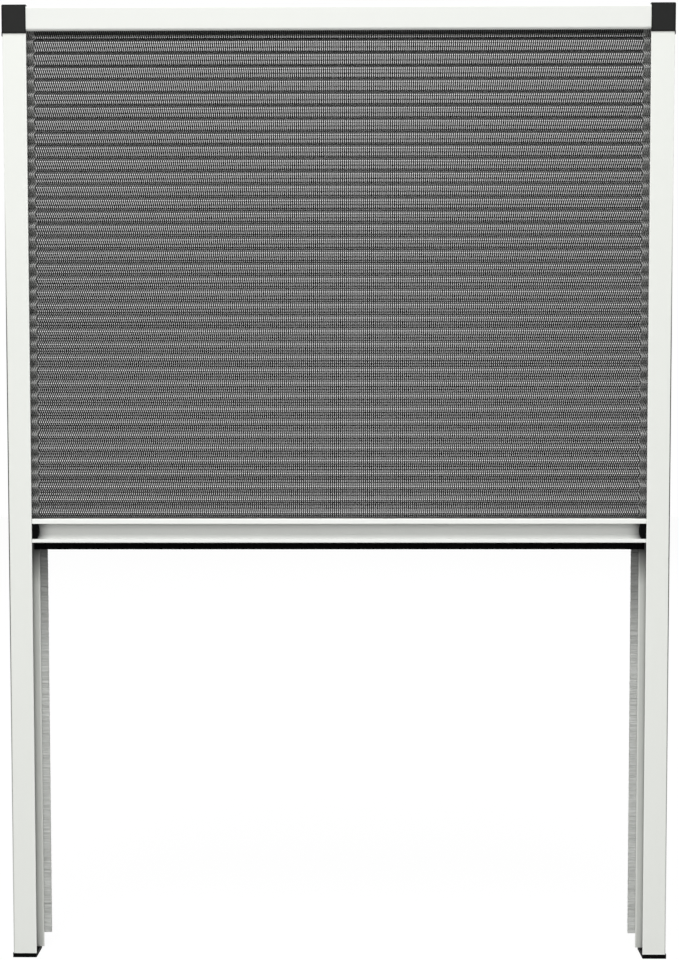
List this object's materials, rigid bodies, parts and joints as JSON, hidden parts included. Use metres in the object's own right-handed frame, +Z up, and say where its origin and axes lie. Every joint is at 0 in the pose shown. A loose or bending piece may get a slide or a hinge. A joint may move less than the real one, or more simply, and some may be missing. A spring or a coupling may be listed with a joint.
{
  "type": "pleated window insect screen",
  "caption": "Window insect screen frame: two side rails and a top profile with corner caps, a pleated mesh and a sliding pull bar with a grip channel and a seal brush.",
  "frame": {"origin": "on the floor plane under the middle of the frame", "axes": "+X to the right seen from the room, +Y from the room into the window, +Z up"},
  "size_m": [0.8, 0.0348, 1.152],
  "materials": {
    "white_profile": "white powder coat, satin",
    "black_plastic": "fine-grained moulded plastic",
    "pleated_mesh": "coated polyester thread, pleated",
    "clip_strip": "extruded plastic strip",
    "black_pile": "dense pile",
    "grey_pile": "dense pile",
    "pile_backing": "woven backing strip",
    "glider_plastic": "smooth slide plastic",
    "felt": "pressed felt",
    "screw_steel": "zinc plated"
  },
  "bodies": {
    "frame": {"top_profile": "white_profile", "mesh_top_clip": "clip_strip", "pleated_mesh": "pleated_mesh", "left_rail": "white_profile", "left_corner_cap": "black_plastic", "left_cap_screws": "screw_steel", "left_foot": "black_plastic", "left_foot_screw": "screw_steel", "left_brush_backing": "pile_backing", "left_side_brush": "grey_pile", "right_rail": "white_profile", "right_corner_cap": "black_plastic", "right_cap_screws": "screw_steel", "right_foot": "black_plastic", "right_foot_screw": "screw_steel", "right_brush_backing": "pile_backing", "right_side_brush": "grey_pile"},
    "bar": {"pull_bar": "white_profile", "mesh_bottom_clip": "clip_strip", "seal_backing": "pile_backing", "seal_pile": "black_pile", "left_end_cap": "black_plastic", "left_glider": "glider_plastic", "left_brake_pad": "felt", "left_glider_screw": "screw_steel", "right_end_cap": "black_plastic", "right_glider": "glider_plastic", "right_brake_pad": "felt", "right_glider_screw": "screw_steel"}
  },
  "joints": [
    {"name": "bar_slide", "type": "slide", "parent": "frame", "child": "bar", "axis": [0, 0, 1], "range_m": [-0.501, 0.57], "deforming": ["pleated_mesh"]}
  ]
}
